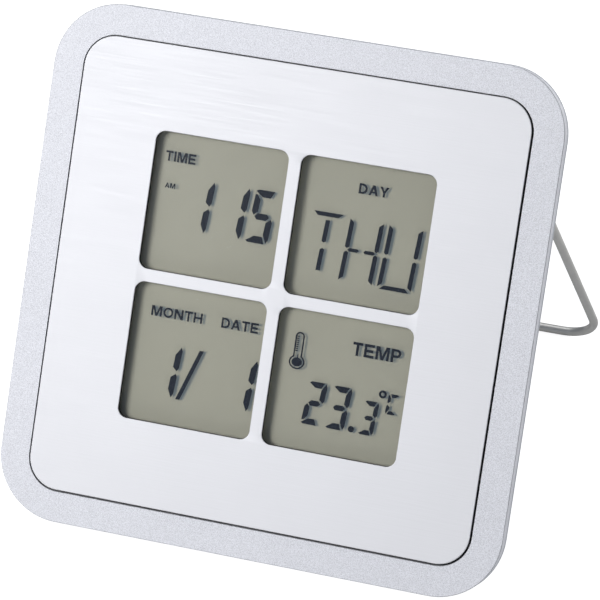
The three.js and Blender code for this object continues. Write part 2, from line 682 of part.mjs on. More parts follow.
function rearCase() {
  const housing = slab(housingOutline(0), [CASE_FRONT - HOUSING_EDGE, CASE_BACK], {
    round: HOUSING_EDGE,
  });
  const rim = slab(
    square(FACE, FACE_CORNER),
    [CASE_FRONT - EDGE_ROUND, CASE_RIM_BACK],
    { round: EDGE_ROUND, curveSegments: CORNER_STEPS },
  );
  const front = block([-FACE, FACE], [-PAST, CASE_FRONT], [-FACE, 2 * FACE]);
  const lipOutline = square(POCKET - 2 * LIP_INSET, POCKET_CORNER - LIP_INSET);
  const lipInside = LIP_INSET + LIP_WALL;
  lipOutline.holes = [
    square(POCKET - 2 * lipInside, POCKET_CORNER - lipInside, new THREE.Path()),
  ];
  const lip = slab(lipOutline, [FLOOR_BACK + AIR, CASE_FRONT + AIR]);
  const room = slab(housingOutline(CASE_WALL), [-PAST, BACK_WALL_FRONT]);
  const shell = union([rim, housing]).subtract(front).add(lip).subtract(room);

  const wells = caseScrewPlaces().map(([x, z]) =>
    rod(x, z, CASE_SCREW_HEAD_RADIUS + CLEARANCE + WELL_WALL, [WELL_FRONT, BACK_WALL_FRONT + AIR]),
  );
  const cup = rod(
    0,
    CELL_HEIGHT_ON_FACE,
    CUP_RADIUS + CUP_WALL,
    [CUP_FRONT, BACK_WALL_FRONT + AIR],
    36,
  );
  const ledgeHalf = DOOR_HALF_WIDTH + DOOR_TONGUE + CASE_WALL;
  const ledge = block(
    [-ledgeHalf, ledgeHalf],
    [LEDGE_BACK - LEDGE_THICK, BACK_WALL_FRONT + AIR],
    [HOUSING_BOTTOM + CASE_WALL / 2, DOOR_TOP + CASE_WALL],
  );
  const solidCase = union([shell, ...wells, cup, ledge, ...stopPegs()]);

  const screwHoles = caseScrewPlaces().flatMap(([x, z]) => [
    rod(x, z, CASE_SCREW_RADIUS + CLEARANCE, [0, CASE_BACK]),
    rod(x, z, CASE_SCREW_HEAD_RADIUS + CLEARANCE, [SCREW_SEAT, CASE_BACK + PAST]),
  ]);
  const cellRoom = rod(0, CELL_HEIGHT_ON_FACE, CUP_RADIUS, [CUP_FLOOR_BACK, CASE_BACK], 36);
  const buttonHoles = BUTTONS.map(([, column]) =>
    slab(buttonOutline(column, 0), [BACK_WALL_FRONT - PAST, CASE_BACK + PAST]),
  );
  const hingeHole = crossRod([-FACE, FACE], HINGE_DEPTH, HINGE_HEIGHT, HINGE_HOLE_RADIUS);
  const vents = [...Array(VENT.count).keys()].map((i) => {
    const z = VENT.top - VENT.pitch * i;
    return block(VENT.across, [BACK_WALL_FRONT - PAST, CASE_BACK + PAST], [z, z + VENT.height]);
  });
  const tools = [
    ...screwHoles,
    cellRoom,
    ...doorway(),
    ...contactSlots(),
    ...buttonHoles,
    hingeHole,
    ...vents,
  ];
  return piece("rear_case", carve(solidCase, tools), FINISH.greyPlastic());
}

const caseScrews = () =>
  caseScrewPlaces().map((place, i) =>
    screw(
      `case_screw_${i + 1}`,
      place,
      SCREW_SEAT + AIR,
      FLOOR_BACK + 2 * CLEARANCE,
      CASE_SCREW_RADIUS,
      CASE_SCREW_HEAD_RADIUS,
      CASE_SCREW_HEAD_HEIGHT,
    ),
  );

// ---------------------------------------------------------------- wire stand
// Adds to a path the bend round a corner, between the points before and after it.
function bend(path, before, corner, after, radius) {
  const back = before.clone().sub(corner).normalize();
  const ahead = after.clone().sub(corner).normalize();
  const half = Math.acos(back.dot(ahead)) / 2;
  const middle = back.clone().add(ahead).normalize();
  const centre = corner.clone().addScaledVector(middle, radius / Math.sin(half));
  const start = corner.clone().addScaledVector(back, radius / Math.tan(half)).sub(centre);
  const end = corner.clone().addScaledVector(ahead, radius / Math.tan(half)).sub(centre);
  const clockwise = start.cross(end) < 0;
  path.lineTo(centre.x + start.x, centre.y + start.y);
  path.absarc(centre.x, centre.y, radius, start.angle(), end.angle(), clockwise);
}

// The wire's centre line. It lies in one plane: x is sideways, and the second coordinate is the
// distance from the hinge axis.
function wireCentreLine() {
  const corners = [
    [-WIRE_END, 0],
    [-WIRE_TOP, 0],
    [-WIRE_BOTTOM, WIRE_REACH],
    [WIRE_BOTTOM, WIRE_REACH],
    [WIRE_TOP, 0],
    [WIRE_END, 0],
  ].map(([x, away]) => new THREE.Vector2(x, away));
  const radii = [WIRE_TOP_BEND, WIRE_BOTTOM_BEND, WIRE_BOTTOM_BEND, WIRE_TOP_BEND];
  const path = new THREE.Path();
  path.moveTo(corners[0].x, corners[0].y);
  radii.forEach((radius, i) => {
    bend(path, corners[i], corners[i + 1], corners[i + 2], radius);
  });
  path.lineTo(corners[5].x, corners[5].y);
  return path.getPoints(WIRE_BEND_STEPS / 2);
}

// A curve through given points, with one step for each point.
class PolylineCurve extends THREE.Curve {
  constructor(points) {
    super();
    this.points = points;
  }
  getUtoTmapping(u) {
    return u;
  }
  getPoint(t) {
    const steps = this.points.length - 1;
    const i = Math.min(Math.floor(t * steps), steps - 1);
    return this.points[i].clone().lerp(this.points[i + 1], t * steps - i);
  }
}

function wireStand() {
  const line = wireCentreLine().map(
    ({ x, y: away }) =>
      new THREE.Vector3(
        x,
        HINGE_DEPTH + away * Math.sin(STAND_OPEN),
        HINGE_HEIGHT - away * Math.cos(STAND_OPEN),
      ),
  );
  const section = new THREE.Shape();
  section.absarc(0, 0, WIRE_RADIUS, 0, 2 * Math.PI);
  const wire = new THREE.ExtrudeGeometry(section, {
    extrudePath: new PolylineCurve(line),
    steps: line.length - 1,
    curveSegments: 6,
    bevelEnabled: false,
  });
  return piece("wire_stand", solid(wire), FINISH.steel());
}

// ---------------------------------------------------------------- the whole clock
const clock = new THREE.Group();
clock.add(
  frontFrame(),
  frontPanel(),
  panelTape(),
  ...display(),
  lcdHolder(),
  zebraStrip("zebra_strip_upper", 1),
  zebraStrip("zebra_strip_lower", -1),
  circuitBoard(),
  chipCover(),
  quartzCrystal(),
  thermistor(),
  capacitor("capacitor_1", 6),
  capacitor("capacitor_2", 12),
  ...boardScrews(),
  ...buttons(),
  battery(),
  negativeContact(),
  positiveContact(),
  batteryDoor(),
  rearCase(),
  ...caseScrews(),
  wireStand(),
);

// The clock stands on two rounded edges: the rear case's lower edge and the wire's bar. Both
// touch the desk when the face leans back by this angle.
function leanAngle() {
  const barDepth = HINGE_DEPTH + WIRE_REACH * Math.sin(STAND_OPEN);
  const barHeight = HINGE_HEIGHT - WIRE_REACH * Math.cos(STAND_OPEN);
  const run = barDepth - (CASE_RIM_BACK - EDGE_ROUND);
  const rise = barHeight - EDGE_ROUND;
  return Math.atan2(rise, run) - Math.asin((WIRE_RADIUS - EDGE_ROUND) / Math.hypot(run, rise));
}

clock.rotation.x = -leanAngle();
const extent = new THREE.Box3().setFromObject(clock, true);
const centre = extent.getCenter(new THREE.Vector3());
clock.position.set(-centre.x, -centre.y, -extent.min.z);

export default clock;
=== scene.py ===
import json
import math

import bmesh
import bpy
from mathutils import Matrix, Vector


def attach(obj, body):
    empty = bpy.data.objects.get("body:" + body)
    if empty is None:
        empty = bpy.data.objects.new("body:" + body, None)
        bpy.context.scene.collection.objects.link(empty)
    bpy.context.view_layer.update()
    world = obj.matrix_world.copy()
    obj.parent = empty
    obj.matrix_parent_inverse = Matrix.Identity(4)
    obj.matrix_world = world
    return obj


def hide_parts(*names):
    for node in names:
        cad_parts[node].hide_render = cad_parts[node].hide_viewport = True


# A square desk clock with a calendar and a thermometer, standing on a folding wire leg.
#
# New pieces are drawn in the clock's own frame, in millimetres from the middle of its face:
# x to the right, y from the face towards the back, z up the face.

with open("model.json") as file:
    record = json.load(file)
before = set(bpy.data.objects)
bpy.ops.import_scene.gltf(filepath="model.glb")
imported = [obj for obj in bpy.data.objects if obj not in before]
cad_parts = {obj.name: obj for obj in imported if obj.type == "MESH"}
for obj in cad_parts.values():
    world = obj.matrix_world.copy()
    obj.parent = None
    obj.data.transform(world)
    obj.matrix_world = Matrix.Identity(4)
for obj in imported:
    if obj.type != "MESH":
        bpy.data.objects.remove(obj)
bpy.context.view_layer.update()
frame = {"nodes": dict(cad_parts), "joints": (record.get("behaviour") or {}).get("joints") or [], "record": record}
nodes = frame["nodes"]

MM = 0.001
QUARTER = math.pi / 2
SHARP = math.radians(35)  # edges steeper than this stay sharp in the shading

# ---------------------------------------------------------------- sizes on the face, in mm
FACE_CORNER = 12.7  # corner radii of the frame, the panel and the windows
PANEL_CORNER = 6.1
WINDOW_CORNER = 1.9
OPENING_CORNER = 3
WINDOW = (1.23, 27.6)  # from the face's centre lines to a window's sides
GROOVE = 0.31  # between the panel and the frame
PANEL_SHIFT = (-0.02, 0.1)  # from the pocket's middle to the panel's
FRAME_EDGE = 0.13  # the chamfer round the frame's front
PANEL_EDGE = 0.15  # edge radii
POCKET_EDGE = 0.1
EDGE_STEPS = 4
WINDOW_TAPER = 0.08  # how much further in a window's sides are at the panel's back
FRAME_BACK = 2.2
LEDGE = (0.75, 1.95)  # depths of the frame's ledge behind the panel
LEDGE_OPENING = 65
POST = {"radius": 2.1, "bore": 1.1, "across": 26, "up": 34.8}
CORNER_STEPS = 20

WIRE_RADIUS = 0.9
WIRE_END = 34.8  # from the middle to the wire's end, to a leg's top and to its foot
WIRE_TOP = 39.8
WIRE_FOOT = 48.1
WIRE_REACH = 77.5  # from the hinge to the bar
WIRE_TOP_BEND = 2
WIRE_FOOT_BEND = 7.4
WIRE_SIDES = 28
WIRE_END_ROUND = 0.3
STAND_OPEN = math.radians(59.8)

# ---------------------------------------------------------------- the clock's own frame
RIGHT = Vector((1, 0, 0))
BACK = Vector(frame["record"]["mounts"][0]["axis"]).normalized()
UP = RIGHT.cross(BACK)


def span(node, direction):
    """How far a CAD node reaches along a direction, lowest and highest, in mm."""
    reach = [vertex.co.dot(direction) / MM for vertex in nodes[node].data.vertices]
    return min(reach), max(reach)


FACE_PLANE = span("front_frame", BACK)[0]
FACE_HALF = span("front_frame", RIGHT)[1]
FACE_MIDDLE = BACK * FACE_PLANE + UP * sum(span("front_frame", UP)) / 2
AXES = Matrix((RIGHT, BACK, UP)).transposed().to_4x4()
CLOCK = Matrix.Translation(FACE_MIDDLE * MM) @ AXES


def depths(node):
    """Depths of a CAD node's front and back behind the face, in mm."""
    near, far = span(node, BACK)
    return near - FACE_PLANE, far - FACE_PLANE


def half_height(node):
    low, high = span(node, UP)
    return (high - low) / 2


# ---------------------------------------------------------------- mesh tools
def rounded_square(half, corner, middle=(0, 0)):
    """Points (x, z) round a square with round corners."""
    points = []
    for quarter in range(4):
        turn = quarter * QUARTER
        across = (half - corner) * math.sqrt(2)
        x = middle[0] + across * math.cos(turn + QUARTER / 2)
        z = middle[1] + across * math.sin(turn + QUARTER / 2)
        for i in range(CORNER_STEPS + 1):
            angle = turn + QUARTER * i / CORNER_STEPS
            points.append((x + corner * math.cos(angle), z + corner * math.sin(angle)))
    return points


def circle(radius, middle, sides=32):
    turn = 2 * math.pi / sides
    return [
        (middle[0] + radius * math.cos(i * turn), middle[1] + radius * math.sin(i * turn))
        for i in range(sides)
    ]


def arc(middle, across, up, start, sweep=math.pi, steps=12):
    """Points along part of an ellipse, from an angle on through a sweep."""
    angles = [start + sweep * i / steps for i in range(steps + 1)]
    return [(middle[0] + across * math.cos(a), middle[1] + up * math.sin(a)) for a in angles]


def ring(bm, outline, y):
    """A closed ring of vertices at depth y."""
    return [bm.verts.new((x, y, z)) for x, z in outline]


def loft(bm, rings, closed=False, finish=0):
    """Quads between neighbouring rings of the same number of vertices.

    finish is their place in the piece's list of materials.
    """
    pairs = list(zip(rings, rings[1:]))
    if closed:
        pairs.append((rings[-1], rings[0]))
    for one, other in pairs:
        for i in range(len(one)):
            j = (i + 1) % len(one)
            face = bm.faces.new((one[i], one[j], other[j], other[i]))
            face.material_index = finish


def edge_arc(radius, steps):
    """(inset, depth) round a rounded edge, from a plate's front to its side."""
    turn = [QUARTER * i / steps for i in range(steps + 1)]
    return [(radius * (1 - math.sin(a)), radius * (1 - math.cos(a))) for a in turn]


def edge_profile(front, back, radius, steps):
    """(inset, depth) from the front to the back of a plate with both its edges rounded."""
    rounding = edge_arc(radius, steps)
    ahead = [(inset, front + y) for inset, y in rounding]
    behind = [(inset, back - y) for inset, y in reversed(rounding)]
    return ahead + behind


def prism(bm, outline, front, back):
    """A flat plate with a simple outline."""
    near = ring(bm, outline, front)
    far = ring(bm, outline, back)
    loft(bm, [near, far])
    bm.faces.new(near)
    bm.faces.new(far)


def block(bm, x_range, z_range, depth):
    """A rectangular block."""
    left, right = x_range
    low, high = z_range
    prism(bm, [(left, low), (right, low), (right, high), (left, high)], *depth)


def cover(bm, walls):
    """Closes the front and the back of walls, each a list of rings, around their holes."""
    for side in (0, -1):
        edges = []
        for rings in walls:
            loop = rings[side]
            edges += [bm.edges.get((loop[i - 1], loop[i])) for i in range(len(loop))]
        bmesh.ops.triangle_fill(bm, edges=edges, use_beauty=True)


def plate(bm, outlines, front, back):
    """A flat plate whose first outline is its rim and whose other outlines are holes."""
    walls = [[ring(bm, outline, front), ring(bm, outline, back)] for outline in outlines]
    for rings in walls:
        loft(bm, rings)
    cover(bm, walls)


def make_piece(name, bm, body, finishes, stands_for=()):
    """Turns a mesh in the clock's frame into a piece that rides on a CAD body."""
    bmesh.ops.recalc_face_normals(bm, faces=bm.faces)
    mesh = bpy.data.meshes.new(name)
    bm.to_mesh(mesh)
    bm.free()
    mesh.transform(CLOCK @ Matrix.Scale(MM, 4))
    mesh.shade_smooth()
    mesh.set_sharp_from_angle(angle=SHARP)
    for finish in finishes:
        mesh.materials.append(finish)
    piece = bpy.data.objects.new(name, mesh)
    bpy.context.scene.collection.objects.link(piece)
    weighted = piece.modifiers.new("Normals", "WEIGHTED_NORMAL")
    weighted.keep_sharp = True
    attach(piece, body)
    if stands_for:
        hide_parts(*stands_for)
    return piece


# ---------------------------------------------------------------- material tools
class NodeTree:
    """Short calls for adding shader nodes to a tree and joining them."""

    def __init__(self, owner):
        owner.use_nodes = True
        self.tree = owner.node_tree

    def add(self, kind, **values):
        node = self.tree.nodes.new(kind)
        for name, value in values.items():
            setattr(node, name, value)
        return node

    def link(self, source, target):
        self.tree.links.new(source, target)

    def between(self, source, low, high, start=0.3, end=0.7):
        """A number that goes from low to high as the source goes from start to end."""
        ramp = self.add("ShaderNodeMapRange")
        ramp.inputs["From Min"].default_value = start
        ramp.inputs["From Max"].default_value = end
        ramp.inputs["To Min"].default_value = low
        ramp.inputs["To Max"].default_value = high
        self.link(source, ramp.inputs["Value"])
        return ramp.outputs["Result"]

    def glow(self, lighting, seen):
        """One strength for the light something gives, another for how bright it looks."""
        camera_ray = self.add("ShaderNodeLightPath").outputs["Is Camera Ray"]
        return self.between(camera_ray, lighting, seen, start=0, end=1)


class Finish(NodeTree):
    """A Principled material, with short calls for the nodes that give it its detail."""

    def __init__(self, name, color, roughness, metallic=0.0, alpha=1.0):
        self.material = bpy.data.materials.new(name)
        super().__init__(self.material)
        self.surface = self.tree.nodes["Principled BSDF"]
        self.color = color
        self.set("Base Color", (*color, 1))
        self.set("Roughness", roughness)
        self.set("Metallic", metallic)
        self.set("Alpha", alpha)

    def set(self, name, value):
        self.surface.inputs[name].default_value = value

    def noise(self, grain, detail=2.0, stretch=(1, 1, 1)):
        """Cloudy noise with blotches of about grain mm, made longer by stretch."""
        place = self.add("ShaderNodeTexCoord")
        scaled = self.add("ShaderNodeMapping")
        scaled.inputs["Scale"].default_value = [1 / (grain * MM * s) for s in stretch]
        noise = self.add("ShaderNodeTexNoise")
        noise.inputs["Scale"].default_value = 1
        noise.inputs["Detail"].default_value = detail
        self.link(place.outputs["Object"], scaled.inputs["Vector"])
        self.link(scaled.outputs["Vector"], noise.inputs["Vector"])
        return noise.outputs["Fac"]

    def shade(self, *factors):
        """Makes the colour lighter or darker by the product of the factors."""
        color = self.add("ShaderNodeRGB")
        color.outputs["Color"].default_value = (*self.color, 1)
        shaded = color.outputs["Color"]
        for factor in factors:
            scaled = self.add("ShaderNodeVectorMath", operation="SCALE")
            self.link(shaded, scaled.inputs["Vector"])
            self.link(factor, scaled.inputs["Scale"])
            shaded = scaled.outputs["Vector"]
        self.link(shaded, self.surface.inputs["Base Color"])

    def roughen(self, factor):
        self.link(factor, self.surface.inputs["Roughness"])

    def bump(self, source, height):
        """Raises the surface by the source, up to height mm."""
        bump = self.add("ShaderNodeBump")
        bump.inputs["Distance"].default_value = height * MM
        self.link(source, bump.inputs["Height"])
        self.link(bump.outputs["Normal"], self.surface.inputs["Normal"])

    def painted_edge_highlight(self, width, amount):
        """1 on flat areas, 1 + amount within width mm of edges: a painted highlight along the edges."""
        soft = self.add("ShaderNodeBevel", samples=4)
        soft.inputs["Radius"].default_value = width * MM
        hard = self.add("ShaderNodeNewGeometry")
        alike = self.add("ShaderNodeVectorMath", operation="DOT_PRODUCT")
        self.link(soft.outputs["Normal"], alike.inputs[0])
        self.link(hard.outputs["Normal"], alike.inputs[1])
        return self.between(alike.outputs["Value"], 1 + amount, 1, start=0.9, end=1)


# ---------------------------------------------------------------- materials
def frame_paint():
    """Silver-white paint with a fine sandy texture."""
    paint = Finish("frame_paint", (0.726, 0.731, 0.78), 0.5, metallic=0.06)
    grains = paint.noise(0.17, detail=1)
    patches = paint.noise(14)
    paint.shade(
        paint.between(grains, 0.79, 1.19),
        paint.between(patches, 0.99, 1.01),
        # painted highlight: the paint is lighter along its edges
        paint.painted_edge_highlight(0.3, 0.06),
    )
    paint.roughen(paint.between(grains, 0.42, 0.58))
    paint.bump(grains, 0.07)
    return paint.material


def panel_aluminium():
    """Satin aluminium, very finely brushed from side to side."""
    metal = Finish("panel_aluminium", (0.748, 0.748, 0.778), 0.62, metallic=0.3)
    strokes = metal.noise(0.14, detail=3, stretch=(90, 1, 1))
    patches = metal.noise(18)
    metal.shade(metal.between(strokes, 0.97, 1.02), metal.between(patches, 0.99, 1.01))
    metal.roughen(metal.between(strokes, 0.56, 0.68))
    metal.bump(strokes, 0.002)
    return metal.material


def black_print_and_painted_shade():
    """Near-black paint standing in for the shade on the panel's cut edges and on the floor of the groove round it;
    the display's black mask print uses it too.
    """
    black_and_shade = Finish("black_print_and_painted_shade", (0.01, 0.01, 0.014), 0.5)
    streaks = black_and_shade.noise(0.3)
    black_and_shade.shade(black_and_shade.between(streaks, 0.7, 1.3))
    black_and_shade.roughen(black_and_shade.between(streaks, 0.4, 0.6))
    return black_and_shade.material


def moulded_plastic(name, color, roughness=0.5, grain=0.25, height=0.01, highlight_gain=0.08):
    """Plastic with the fine sparked grain of its mould and a painted highlight along its edges."""
    plastic = Finish(name, color, roughness)
    sparks = plastic.noise(grain, detail=3)
    flow = plastic.noise(9)
    plastic.shade(
        plastic.between(sparks, 0.97, 1.02),
        plastic.between(flow, 0.98, 1.02),
        plastic.painted_edge_highlight(0.25, highlight_gain),
    )
    plastic.roughen(plastic.between(sparks, roughness - 0.07, roughness + 0.07))
    plastic.bump(sparks, height)
    return plastic.material


def drawn_metal(name, color, roughness, stretch=(1, 1, 1), grain=0.1):
    """Bright metal with fine lines from its making."""
    metal = Finish(name, color, roughness, metallic=1.0)
    lines = metal.noise(grain, detail=3, stretch=stretch)
    smears = metal.noise(3)
    metal.shade(
        metal.between(lines, 0.93, 1.03),
        metal.between(smears, 0.96, 1.02),
        # painted highlight: the metal is lighter along its edges
        metal.painted_edge_highlight(0.15, 0.08),
    )
    metal.roughen(metal.between(lines, roughness - 0.05, roughness + 0.08))
    metal.bump(lines, 0.003)
    return metal.material


def polariser_film():
    """Clear film with a slight bluish haze."""
    film = Finish("polariser", (0.12, 0.15, 0.2), 0.3, alpha=0.05)
    film.set("Specular IOR Level", 0.2)
    haze = film.noise(2)
    film.shade(film.between(haze, 0.9, 1.1))
    film.roughen(film.between(haze, 0.25, 0.35))
    return film.material


def clear_glass():
    glass = Finish("lcd_glass", (0.03, 0.035, 0.04), 0.08, alpha=0.03)
    glass.set("Specular IOR Level", 0.2)
    smears = glass.noise(4)
    glass.shade(glass.between(smears, 0.9, 1.1))
    glass.roughen(glass.between(smears, 0.04, 0.12))
    return glass.material


def reflector_film():
    """The olive grey film behind the display, with its fine pearly grain."""
    film = Finish("reflector", (0.45, 0.438, 0.342), 0.6)
    grains = film.noise(0.16, detail=2)
    clouds = film.noise(12)
    film.shade(film.between(grains, 0.95, 1.04), film.between(clouds, 0.985, 1.015))
    film.bump(grains, 0.004)
    return film.material


def display_ink():
    """Dark slate segments. Light goes on through them and leaves a bluish shadow behind."""
    ink = Finish("display_ink", (0.007, 0.01, 0.018), 0.6)
    ink.set("Specular IOR Level", 0.1)
    mottle = ink.noise(0.4)
    ink.shade(ink.between(mottle, 0.92, 1.08))
    passed = ink.add("ShaderNodeBsdfTransparent")
    passed.inputs["Color"].default_value = (0.46, 0.55, 0.68, 1)
    lamp_ray = ink.add("ShaderNodeLightPath").outputs["Is Shadow Ray"]
    choice = ink.add("ShaderNodeMixShader")
    ink.link(lamp_ray, choice.inputs["Fac"])
    ink.link(ink.surface.outputs["BSDF"], choice.inputs[1])
    ink.link(passed.outputs["BSDF"], choice.inputs[2])
    ink.link(choice.outputs["Shader"], ink.tree.nodes["Material Output"].inputs["Surface"])
    return ink.material


def green_board():
    """Solder mask over copper tracks, which show as slightly raised lighter lines."""
    board = Finish("board", (0.02, 0.13, 0.05), 0.35)
    weave = board.noise(0.35, detail=2)
    tracks = board.noise(2.4, detail=0, stretch=(3, 1, 1))
    copper = board.between(tracks, 0.8, 1.35, start=0.49, end=0.51)
    board.shade(board.between(weave, 0.95, 1.05), copper)
    board.roughen(board.between(weave, 0.3, 0.42))
    board.bump(tracks, 0.02)
    return board.material


def rubber_layers():
    """Zebra strip: pale silicone with thin dark conducting layers across it."""
    rubber = Finish("zebra_rubber", (0.72, 0.33, 0.4), 0.75)
    layers = rubber.noise(0.18, detail=0, stretch=(1, 60, 60))
    rubber.shade(rubber.between(layers, 0.35, 1.05, start=0.45, end=0.55))
    rubber.bump(layers, 0.01)
    return rubber.material


FINISHES = {
    "frame_paint": frame_paint(),
    "panel_aluminium": panel_aluminium(),
    "tape": moulded_plastic("tape", (0.012, 0.012, 0.015), 0.8, grain=0.4),
    "polariser": polariser_film(),
    "lcd_glass": clear_glass(),
    "reflector": reflector_film(),
    "holder_plastic": moulded_plastic("holder_plastic", (0.75, 0.75, 0.71), 0.5),
    "zebra_rubber": rubber_layers(),
    "board": green_board(),
    "epoxy": moulded_plastic("epoxy", (0.01, 0.01, 0.012), 0.3, grain=1.2, height=0.03),
    "tinned_metal": drawn_metal("tinned_metal", (0.62, 0.63, 0.64), 0.3),
    "bead": moulded_plastic("bead", (0.05, 0.03, 0.02), 0.35, grain=0.5),
    "capacitor": moulded_plastic("capacitor", (0.42, 0.29, 0.15), 0.55, grain=0.3),
    "screw_steel": drawn_metal("screw_steel", (0.5, 0.5, 0.51), 0.32),
    "switch_plastic": moulded_plastic("switch_plastic", (0.02, 0.02, 0.023), 0.5),
    "button_plastic": moulded_plastic("button_plastic", (0.12, 0.13, 0.15), 0.5),
    "cell_steel": drawn_metal("cell_steel", (0.58, 0.58, 0.57), 0.28, stretch=(12, 1, 1)),
    "case_plastic": moulded_plastic("case_plastic", (0.47, 0.49, 0.53), 0.5, grain=0.35),
    "wire_steel": drawn_metal("wire_steel", (0.7, 0.69, 0.67), 0.48, stretch=(14, 1, 1)),
}
BLACK_PRINT_AND_PAINTED_SHADE = black_print_and_painted_shade()
PAINTED_SHADE_CHAMFER = moulded_plastic("painted_shade_chamfer", (0.47, 0.48, 0.51), 0.5)  # painted shade: a darker finish on the frame's chamfer for the dark line along its front edge
INK = display_ink()


# ---------------------------------------------------------------- front frame
def post(bm, x, z):
    """A tube on the ledge's back that a case screw bites into."""
    tip = depths("front_frame")[1]
    outer = circle(POST["radius"], (x, z))
    bore = circle(POST["bore"], (x, z))
    rings = [
        ring(bm, outer, LEDGE[1]),
        ring(bm, outer, tip),
        ring(bm, bore, tip),
        ring(bm, bore, LEDGE[1]),
    ]
    loft(bm, rings, closed=True)


def front_frame():
    """The painted rim with a fine chamfer round its front, the ledge and the four posts."""
    bm = bmesh.new()
    finishes = [FINISHES["frame_paint"], BLACK_PRINT_AND_PAINTED_SHADE, PAINTED_SHADE_CHAMFER]
    pocket = span("front_panel", RIGHT)[1] + GROOVE
    pocket_corner = PANEL_CORNER + GROOVE
    inside = edge_arc(POCKET_EDGE, EDGE_STEPS)[::-1]
    outside = edge_arc(FRAME_EDGE, 1)
    steps = [(pocket + inset, pocket_corner + inset, y) for inset, y in inside]
    steps += [(FACE_HALF - inset, FACE_CORNER - inset, y) for inset, y in outside]
    steps += [
        (FACE_HALF, FACE_CORNER, FRAME_BACK),
        (pocket, pocket_corner, FRAME_BACK),
        (pocket, pocket_corner, LEDGE[1]),
        (LEDGE_OPENING / 2, OPENING_CORNER, LEDGE[1]),
        (LEDGE_OPENING / 2, OPENING_CORNER, LEDGE[0]),
        (pocket, pocket_corner, LEDGE[0]),
    ]
    rings = [ring(bm, rounded_square(half, corner), y) for half, corner, y in steps]
    chamfer = len(inside)
    ledge_front = rings[-2:]
    pocket_wall = [rings[-1], rings[0]]
    loft(bm, rings[: chamfer + 1])
    # painted shade: the chamfer gets the darker finish, a dark line along the frame's front edge
    loft(bm, rings[chamfer : chamfer + 2], finish=finishes.index(PAINTED_SHADE_CHAMFER))
    loft(bm, rings[chamfer + 1 : -1])
    # painted shade: the ledge's front is the groove's floor, painted near-black as the shade in the groove
    loft(bm, ledge_front, finish=finishes.index(BLACK_PRINT_AND_PAINTED_SHADE))
    loft(bm, pocket_wall)
    for sideways in (-1, 1):
        for upwards in (-1, 1):
            post(bm, sideways * POST["across"], upwards * POST["up"])
    make_piece(
        "front_frame_shell",
        bm,
        "clock",
        finishes,
        ["front_frame"],
    )


# ---------------------------------------------------------------- front panel
def panel_rim(bm, profile):
    """The rings of the panel's outer wall."""
    half = span("front_panel", RIGHT)[1]
    rings = []
    for inset, y in profile:
        outline = rounded_square(half - inset, PANEL_CORNER - inset, PANEL_SHIFT)
        rings.append(ring(bm, outline, y))
    return rings


def window_wall(bm, middle, profile):
    """The rings of a window's wall, which closes in slightly towards the back."""
    low, high = WINDOW
    half = (high - low) / 2
    front, back = depths("front_panel")
    rings = []
    for inset, y in profile:
        wider = inset - WINDOW_TAPER * (y - front) / (back - front)
        outline = rounded_square(half + wider, WINDOW_CORNER + wider, middle)
        rings.append(ring(bm, outline, y))
    return rings


def front_panel():
    """The aluminium plate with its four windows, all with finely rounded edges."""
    bm = bmesh.new()
    finishes = [FINISHES["panel_aluminium"], BLACK_PRINT_AND_PAINTED_SHADE]
    profile = edge_profile(*depths("front_panel"), PANEL_EDGE, EDGE_STEPS)
    window_at = sum(WINDOW) / 2
    walls = [panel_rim(bm, profile)]
    for sideways in (-1, 1):
        for upwards in (-1, 1):
            middle = (sideways * window_at, PANEL_SHIFT[1] + upwards * window_at)
            walls.append(window_wall(bm, middle, profile))
    bright = EDGE_STEPS - 1  # the steps of the front edge that stay bare metal
    for rings in walls:
        loft(bm, rings[: bright + 1])
        # painted shade: the rest of each edge and the window walls are painted near-black, as shade where they
        # face away from the light
        loft(bm, rings[bright:], finish=finishes.index(BLACK_PRINT_AND_PAINTED_SHADE))
    cover(bm, walls)
    make_piece(
        "front_panel_plate",
        bm,
        "clock",
        finishes,
        ["front_panel"],
    )


# ---------------------------------------------------------------- display glass
def glass_pair():
    """The display's two glasses, joined at the crystal layer between them."""
    bm = bmesh.new()
    front, crystal = depths("lcd_front_glass")
    back = depths("lcd_rear_glass")[1]
    half = span("lcd_front_glass", RIGHT)[1]
    tall = half_height("lcd_front_glass")
    short = half_height("lcd_rear_glass")
    section = [
        (front, -tall),
        (front, tall),
        (crystal, tall),
        (crystal, short),
        (back, short),
        (back, -short),
        (crystal, -short),
        (crystal, -tall),
    ]
    ends = [[bm.verts.new((x, y, z)) for y, z in section] for x in (-half, half)]
    loft(bm, ends)
    for end in ends:
        bm.faces.new(end)
    make_piece(
        "lcd_glass_pair",
        bm,
        "clock",
        [FINISHES["lcd_glass"]],
        ["lcd_front_glass", "lcd_rear_glass"],
    )


# ---------------------------------------------------------------- display mask
INK_DEPTH = (1.46, 1.48)  # in the crystal layer
MASK_OPENING = 56.4
MASK_MARGIN = 0.3  # of bare glass outside the mask
SEAL = {"from_middle": 28.25, "thick": 0.2, "half_length": 28, "depth": (1.5, 4)}


def display_mask():
    """The black border and the two strips behind it that hide the display's edges."""
    bm = bmesh.new()
    edge = span("lcd_front_glass", RIGHT)[1] - MASK_MARGIN
    rim = rounded_square(edge, OPENING_CORNER)
    opening = rounded_square(MASK_OPENING / 2, OPENING_CORNER)
    plate(bm, [rim, opening], *INK_DEPTH)
    for upwards in (-1, 1):
        near = upwards * SEAL["from_middle"]
        far = near + upwards * SEAL["thick"]
        length = (-SEAL["half_length"], SEAL["half_length"])
        block(bm, length, (near, far), SEAL["depth"])
    make_piece("display_mask", bm, "clock", [BLACK_PRINT_AND_PAINTED_SHADE])


# ---------------------------------------------------------------- display segments
DIGIT_SLANT = math.tan(math.radians(5))
LETTER_SLANT = math.tan(math.radians(3.6))


